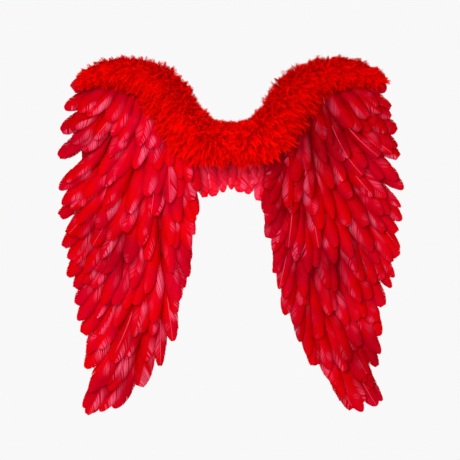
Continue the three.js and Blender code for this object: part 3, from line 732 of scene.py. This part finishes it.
TRIM_PAINTED_SHADE, TRIM_PAINTED_SHADE_FROM = {-1: 0.35, 1: 0.65}, (0.2, 0.45)  # painted shade of a trim's outer part, more on the right

# How things change along a trim: the shares of its length, and how strong each is there
ALONG_TRIM = {
    "pinch": ([0.08, 0.18, 0.3, 0.42], [0, 0.22, 0.22, 0]),
    "onward": ([0, 0.2, 0.5, 1], [-1.5, 1, 1.3, 2]),
    "small": ([0, 0.7, 1], [1, 0.86, 0.64]),
    "gust": ([0, 0.6, 1], [0.17, 0.2, 0.3]),
    "below": ([0, 0.1, 0.2, 0.45, 0.6, 0.8, 1], [-0.3, -0.2, 0.3, 0.4, -0.4, -0.6, -0.75]),
    "above": ([0, 0.08, 0.2, 0.35, 0.5, 1], [-0.5, -0.6, -0.75, -0.75, -0.45, -0.4]),
}


def on_trim(share, what):
    return np.interp(share, *ALONG_TRIM[what])


def trim_back(out, z):
    on_row = ROW_LIFT * np.maximum(0, row_at(out, z) - (FIRST_TIPS - FEATHER_ROWS))
    on_fringe = FRINGE_SLOPE * np.maximum(0, FRINGE_ROOT_RISE - z)
    return LAID_GAP + TAPE_THICKNESS + LAID_GAP + np.maximum(on_row, on_fringe)


def trim_surface(side, share, angle, size):
    """The trim's skin at shares of its length and angles round its front, for a size of 1 at full."""
    out = np.multiply(TRIM_LINE["out"], HALF_SPAN)
    points = np.stack([out, RISE - np.multiply(TRIM_LINE["down"], HEIGHT)], axis=-1)
    line, along = smooth_line(points, 200)
    at = np.linspace(0, 1, 200)
    x, z, ax, az = (np.interp(share, at, column) for column in (*line.T, *along.T))
    out_share = x / HALF_SPAN
    half = np.interp(out_share, TRIM_LINE["out"], TRIM_LINE["width"]) * TRIM_WIDTH / 2 - TRIM_EDGE
    depth = np.interp(out_share, TRIM_LINE["out"], TRIM_LINE["depth"]) * TRIM_DEPTH - TRIM_EDGE
    across = size * np.cos(angle)
    across = np.where(across > 0, across * (1 - on_trim(share, "pinch")), across)
    up = CORE_BASE + size * (1 - CORE_BASE) * np.sin(angle)
    out = np.maximum(x - az * across * half, MIDDLE_GAP / 2)
    height = z + ax * across * half
    return on_wing(side, out, height, trim_back(out, height) + np.maximum(up, 0.02) * depth)


def tuft_feet(rng):
    """Where the tufts stand: shares of the trim's length and angles round its front. The last ones are
    the wisps that reach down over the feathers."""
    a, b = np.meshgrid(np.arange(TUFTS_ALONG), np.arange(TUFTS_AROUND), indexing="ij")
    share = (a + 0.5 + rng.uniform(-0.5, 0.5, a.shape)) / TUFTS_ALONG
    start, arc = TUFTED_ARC
    angle = np.pi * (start + arc * (b + 0.5 + rng.uniform(-0.5, 0.5, a.shape)) / TUFTS_AROUND)
    share = np.concatenate([share.ravel(), rng.uniform(*WISP_SHARES, WISPS)])
    return share, np.concatenate([angle.ravel(), np.pi * rng.uniform(*WISP_ARC, WISPS)])


def tuft_peaks(side, rng, share, angle, foot, away):
    """Where the tufts end: away from the trim, sideways, onward and down, and longer at its lower edge."""
    count = len(share)
    beside = away * [1, 0.3, 1]
    onward = side * np.array(OUTWARD_AIM) * on_trim(share, "onward")[:, None]
    aim = beside * rng.uniform(*SIDEWAYS, (count, 1)) + np.array([0, 0, HANG]) + onward
    aim = aim + rng.normal(0, AIM_CHANGE, (count, 3))
    aim[:, 1] -= FORWARD
    gusts = np.sin(share * 61 + angle * 2) + np.sin(share * 137 - angle * 3 + side)
    longer = rng.uniform(*TUFT_LENGTHS, count) + on_trim(share, "gust") * gusts
    below = on_trim(share, "below")
    below[-WISPS:] += WISP_REACH
    at_edge = np.abs(beside[:, 2]) * np.where(away[:, 2] > 0, on_trim(share, "above"), below)
    reach = FIBRE_LENGTH * on_trim(share, "small") * longer * (1 + at_edge)
    return foot + unit(aim) * reach[:, None]


def trim(side):
    """A dense core under tufts of fine curved fibres."""
    heap = Heap()
    rng = np.random.default_rng(40 + side)
    sides = np.linspace(0, 2 * np.pi, CORE_SIDES + 1)[:-1]
    share, angle = np.meshgrid(np.linspace(0, 1, CORE_RINGS), sides, indexing="ij")
    lump = SKIN * (1 + CORE_LUMP * np.sin(9 * angle + 40 * share) * np.sin(60 * share))
    ends = np.sin(np.pi * np.clip((1 - share) * 14, 0, 0.5))
    core = trim_surface(side, share, angle, lump * (0.35 + 0.65 * ends))
    heap.add(core, places=np.array([0.25, 0.05]), closed=True, along=0.3, tuft=0.3)

    share, angle = tuft_feet(rng)
    count = len(share)
    foot = trim_surface(side, share, angle, SKIN)
    away = unit(trim_surface(side, share, angle, SKIN + SKIN_STEP) - foot)
    peak = tuft_peaks(side, rng, share, angle, foot, away)
    start = foot[:, None] + rng.normal(0, START_SPREAD, (count, FIBRES, 3))
    small = on_trim(share, "small")[:, None, None]
    end = peak[:, None] + rng.normal(0, END_SPREAD, (count, FIBRES, 3)) * small
    bow = (start + end) / 2 + away[:, None] * BOW + rng.normal(0, BOW_SPREAD, (count, FIBRES, 3))
    t = np.array([0, 0.4, 0.75, 1])[:, None]
    line = bowed(start[:, :, None], bow[:, :, None], end[:, :, None], t)
    face = away[:, None, None] + rng.normal(0, 0.3, (count, FIBRES, 1, 3))
    wide = unit(np.cross(np.gradient(line, axis=2), face))
    thin = FIBRE_WIDTH * FIBRE_TAPER[:, None] / 2
    grid = np.stack([line - wide * thin, line + wide * thin], axis=3)

    tone = rng.normal(TONE, TONE_PER_TUFT, (count, 1, 1, 1))
    tone = tone + rng.normal(0, TONE_PER_FIBRE, (count, FIBRES, 1, 1))
    # Painted shade towards the trim's outer end, on top of the random tone
    darker = TRIM_PAINTED_SHADE[side] * grown_in(share, *TRIM_PAINTED_SHADE_FROM)
    tone = np.clip(tone + darker[:, None, None, None], 0, 1)
    along = np.broadcast_to(t.reshape(1, 1, 4, 1), grid.shape[:-1])
    place_u = 0.02 + 0.96 * tone + np.array([-0.004, 0.004]) + 0 * along
    places = np.stack([place_u, 0.02 + 0.96 * along], axis=-1)
    heap.add(grid, places=places, along=along, tuft=tone)
    name = NAMES[side]
    heap.piece(f"{name}_marabou", FLUFF, "fluff", f"{name}_trim")


# Boards, pad and loops

STITCH, STITCH_GAP, THREAD_RADIUS = 4.6, 1.9, 0.55
STITCH_SINK = 0.1
STITCH_STATIONS = np.array([0, 0.12, 0.5, 0.88, 1])
STITCH_RISE = np.array([-0.9, 0.2, 0.6, 0.2, -0.9])
STITCH_SWELL = np.array([0.5, 1, 1.1, 1, 0.5])
REARWARD = np.array([0.0, 1.0, 0.0])


def stitches(heap, line):
    """Adds a row of stitches along a line of points on a surface that faces the rear."""
    length = run_of(line)
    pitch = STITCH + STITCH_GAP
    count = int(length[-1] / pitch)
    at = (np.arange(count)[:, None] + 0.15) * pitch + STITCH_STATIONS * STITCH
    centre = at_lengths(at, length, line)
    beside = unit(np.cross(np.gradient(centre, axis=1), REARWARD))
    centre = centre + REARWARD * (THREAD_RADIUS * STITCH_RISE - STITCH_SINK)[:, None]
    turn = np.linspace(0, 2 * np.pi, 7)[:-1, None]
    radius = (THREAD_RADIUS * STITCH_SWELL)[:, None, None]
    ring = radius * (beside[:, :, None] * np.cos(turn) + REARWARD * np.sin(turn))
    heap.add(centre[:, :, None] + ring, closed=True)


COCKLE = 0.25
SEAM_FROM, SEAM_TO, SEAM_MARGIN = 20, 0.87, 6  # where the rows' stitches may run on a board


def board(side):
    """A felt board with a rounded edge, and the stitches of the feather rows on its back."""
    slices = {key: np.array(column, float) for key, column in BOARD_SLICES.items()}
    stations, _ = smooth_line(np.stack([slices["out"], slices["top"], slices["bottom"]], axis=-1), 110)
    out = np.maximum(MIDDLE_GAP / 2, stations[:, 0] * HALF_SPAN)[:, None]
    high, low = RISE - stations[:, 1:2] * HEIGHT, RISE - stations[:, 2:3] * HEIGHT
    up = np.linspace(1, 0, 24)
    front = np.stack([up, 0 * up], axis=-1)
    edge = np.array([[0, 0.2], [-0.001, 0.5], [0, 0.8]])
    back = np.stack([up[::-1], 1 + 0 * up], axis=-1)
    section = np.concatenate([front, edge, back, [[1, 0.8], [1.001, 0.5], [1, 0.2]]])
    z = low + (high - low) * section[:, 0]
    cockle = COCKLE * np.sin(z / 31 + out / 17) * np.sin(out / 23 - z / 47)
    depth = cockle * (section[:, 1] == 1) - BOARD_THICKNESS * section[:, 1]
    grid = on_wing(side, out + 0 * z, z, depth)
    heap = Heap()
    heap.add(grid, closed=True)
    for ring in (grid[0], grid[-1]):
        heap.add(np.stack([ring, ring.mean(axis=0) + 0 * ring]), closed=True)
    name = NAMES[side]
    heap.piece(f"{name}_board_felt", FELT, "felt", f"{name}_board")

    seam = Heap()
    wide = stations[:, 0] * HALF_SPAN
    for row in range(ROWS):
        x = np.linspace(SEAM_FROM, SEAM_TO * HALF_SPAN, 240)
        line_z = height_of_row(x, FIRST_TIPS + row - FEATHER_ROWS)
        top = RISE - np.interp(x, wide, stations[:, 1]) * HEIGHT
        bottom = RISE - np.interp(x, wide, stations[:, 2]) * HEIGHT
        kept = (line_z < top - SEAM_MARGIN) & (line_z > bottom + SEAM_MARGIN)
        if kept.sum() < 8:
            continue
        stitches(seam, on_wing(side, x[kept], line_z[kept], -BOARD_THICKNESS - 0.1))
    seam.piece(f"{name}_board_stitches", THREAD, "felt")


def rounded_outline(half_width, half_height, radius, count):
    """Points evenly round a rectangle with round corners."""
    turn = np.linspace(0, 2 * np.pi, count, endpoint=False)
    corner = np.stack([np.sign(np.cos(turn)), np.sign(np.sin(turn))], axis=-1)
    centre = corner * np.array([half_width - radius, half_height - radius])
    way = np.stack([np.cos(turn), np.sin(turn)], axis=-1)
    dense = centre + way * radius
    dense = np.vstack([dense, dense[:1]])
    length = run_of(dense)
    return at_lengths(np.linspace(0, length[-1], count, endpoint=False), length, dense)


PAD_SEAM = 0.9  # where the stitches run, as a share of the pad's half width and height
PAD_CROWN = 1.7  # how far the edge lies below the middle of the pad's rear face
PAD_WAIST = 1.2  # how far the sides are pulled in between the corners


def pad():
    """The felt-covered back pad: a crowned form with a rolled edge, sewn down along a line inside it."""
    count = 240
    outline = rounded_outline(PAD_WIDTH / 2, PAD_HEIGHT / 2, PAD_CORNER, count)
    half = np.array([PAD_WIDTH, PAD_HEIGHT]) / 2
    off = 1 - (np.abs(outline[:, ::-1]) / half[::-1]) ** 2
    at_side = np.abs(outline) > half - PAD_CORNER
    outline = outline - np.sign(outline) * at_side * PAD_WAIST * np.clip(off, 0, 1)
    shares = np.concatenate([np.linspace(0.0, 0.84, 15), [0.87, PAD_SEAM, 0.93, 0.96, 0.985, 0.997, 1.0]])
    swell = np.where(shares < PAD_SEAM, 1 - (shares / PAD_SEAM) ** 2.2, 0)
    groove = 0.7 * np.exp(-(((shares - PAD_SEAM) / 0.012) ** 2))
    rolled = np.clip((shares - 0.93) / 0.07, 0, 1) ** 3
    rear = -PAD_CROWN * (1 - swell) - groove * (shares > 0.85) - (PAD_THICKNESS / 2 - PAD_CROWN) * rolled
    front = -PAD_THICKNESS + (PAD_THICKNESS / 2) * rolled + 0.5 * groove
    rings = []
    for share, y in [*zip(shares, rear), *zip(shares[-2::-1], front[-2::-1])]:
        rings.append(np.stack([outline[:, 0] * share, np.full(count, y), outline[:, 1] * share], axis=-1))
    grid = np.stack(rings)
    ripple = 0.18 * np.sin(grid[..., 0] / 5.5 + np.sin(grid[..., 2] / 9)) * np.sin(grid[..., 2] / 7.5)
    grid[1 : len(shares) - 3, :, 1] += np.minimum(ripple, 0)[1 : len(shares) - 3]
    heap = Heap()
    heap.add(grid, closed=True)
    piece = heap.piece("back_pad_felt", FELT, "felt", "back_pad")
    seam = Heap()
    line = np.vstack([outline, outline[:1]]) * PAD_SEAM
    line = np.stack([line[:, 0], np.full(count + 1, -PAD_CROWN - 0.6), line[:, 1]], axis=-1)
    stitches(seam, line)
    seam.piece("back_pad_stitches", THREAD, "felt")


def strap(side):
    """An elastic loop whose ends are sewn into the pad's edges."""
    middle, end = -PAD_THICKNESS / 2, PAD_HEIGHT / 2 + LAID_GAP
    up = np.array(LOOP_LINE["up"])
    z = np.where(up > 0, up * LOOP_RISE, up * LOOP_DROP)
    y = middle + np.array(LOOP_LINE["off"]) * LOOP_DEPTH
    points = np.vstack([[middle, end], np.stack([y, z], axis=-1), [middle, -end]])
    line, along = smooth_line(points, 140)
    turn = np.linspace(0, 2 * np.pi, 17)[:-1]
    wide = np.sign(np.cos(turn)) * np.abs(np.cos(turn)) ** 0.35 * STRAP_WIDTH / 2
    thick = np.sign(np.sin(turn)) * np.abs(np.sin(turn)) ** 0.6 * STRAP_THICKNESS / 2
    x = PAD_WIDTH / 2 - PAD_CORNER - STRAP_WIDTH / 2
    out = np.stack([along[:, 1], -along[:, 0]], axis=-1)
    ring_y = line[:, :1] + out[:, :1] * thick
    ring_z = line[:, 1:] + out[:, 1:] * thick
    grid = np.stack([np.broadcast_to(side * (x + wide), ring_y.shape), ring_y, ring_z], axis=-1)
    heap = Heap()
    heap.add(grid, closed=True, along=run_of(line)[:, None])
    name = NAMES[side]
    heap.piece(f"{name}_strap_elastic", ELASTIC, "elastic", f"{name}_strap")


# Stage: the camera where the photograph was taken from, a pale floor and soft light

PIXELS, PIXEL_MM = 460, 1.739
AXIS_PIXEL, ORIGIN_PIXEL = 231.0, 155.5
CAMERA_DISTANCE = 3000
SENSOR = 36
FLOOR_Z, FLOOR_RADIUS = -620, 620
BACKGROUND, FILL = 0.939, 0.42

# Where each lamp stands and what it is aimed at, in metres, its size and its watts
LAMPS = {
    "key": ((-0.95, -1.65, 0.5), (-0.12, 0, -0.1), 1.2, 29),
    "low": ((0.2, -1.6, -0.15), (0, 0, -0.05), 1.0, 10.5),
    "rim": ((1.6, 1.6, 1.0), (0, 0, -0.1), 1.2, 20),
}


def camera():
    data = bpy.data.cameras.new("camera")
    data.sensor_width = SENSOR
    data.lens = SENSOR * CAMERA_DISTANCE / (PIXELS * PIXEL_MM)
    obj = bpy.data.objects.new("camera", data)
    x = (PIXELS / 2 - AXIS_PIXEL) * PIXEL_MM
    z = (ORIGIN_PIXEL - PIXELS / 2) * PIXEL_MM
    obj.location = (x * MM, -(CAMERA_DISTANCE + 20) * MM, z * MM)
    obj.rotation_euler = (math.radians(90), 0, 0)
    bpy.context.scene.collection.objects.link(obj)
    bpy.context.scene.camera = obj


def lamp(name, place, aim, size, power):
    data = bpy.data.lights.new(name, "AREA")
    data.size = size
    data.energy = power
    obj = bpy.data.objects.new(name, data)
    obj.location = place
    obj.rotation_mode = "QUATERNION"
    obj.rotation_quaternion = Vector(np.subtract(aim, place)).to_track_quat("-Z", "Y")
    bpy.context.scene.collection.objects.link(obj)


def stage():
    world = bpy.data.worlds.new("studio")
    world.use_nodes = True
    tree = world.node_tree
    seen = tree.nodes["Background"]
    seen.inputs["Color"].default_value = (BACKGROUND, BACKGROUND, BACKGROUND, 1)
    fill = tree.nodes.new("ShaderNodeBackground")
    fill.inputs["Color"].default_value = (FILL, FILL, FILL, 1)
    path = tree.nodes.new("ShaderNodeLightPath")
    mix = tree.nodes.new("ShaderNodeMixShader")
    tree.links.new(path.outputs["Is Camera Ray"], mix.inputs[0])
    tree.links.new(fill.outputs[0], mix.inputs[1])
    tree.links.new(seen.outputs[0], mix.inputs[2])
    tree.links.new(mix.outputs[0], tree.nodes["World Output"].inputs["Surface"])
    bpy.context.scene.world = world
    turn = np.linspace(0, 2 * np.pi, 97)[:-1]
    rim = [FLOOR_RADIUS * np.cos(turn), FLOOR_RADIUS * np.sin(turn), 0 * turn + FLOOR_Z]
    rim = np.stack(rim, axis=-1) * MM
    mesh = bpy.data.meshes.new("floor")
    mesh.from_pydata(rim.tolist(), [], [list(range(len(rim)))])
    n = Nodes("pale_floor", roughness=0.9, specular=0.1)
    mesh.materials.append(n.colour(n.mix(n.noise(6), (0.86, 0.86, 0.86, 1), (0.9, 0.9, 0.9, 1))))
    obj = bpy.data.objects.new("floor", mesh)
    bpy.context.scene.collection.objects.link(obj)
    for name, settings in LAMPS.items():
        lamp(name, *settings)


bpy.context.scene.view_settings.view_transform = "Standard"
camera()
stage()
for side in (-1, 1):
    for row in range(ROWS):
        feather_row(side, row)
    trim(side)
    board(side)
    strap(side)
fringe()
pad()
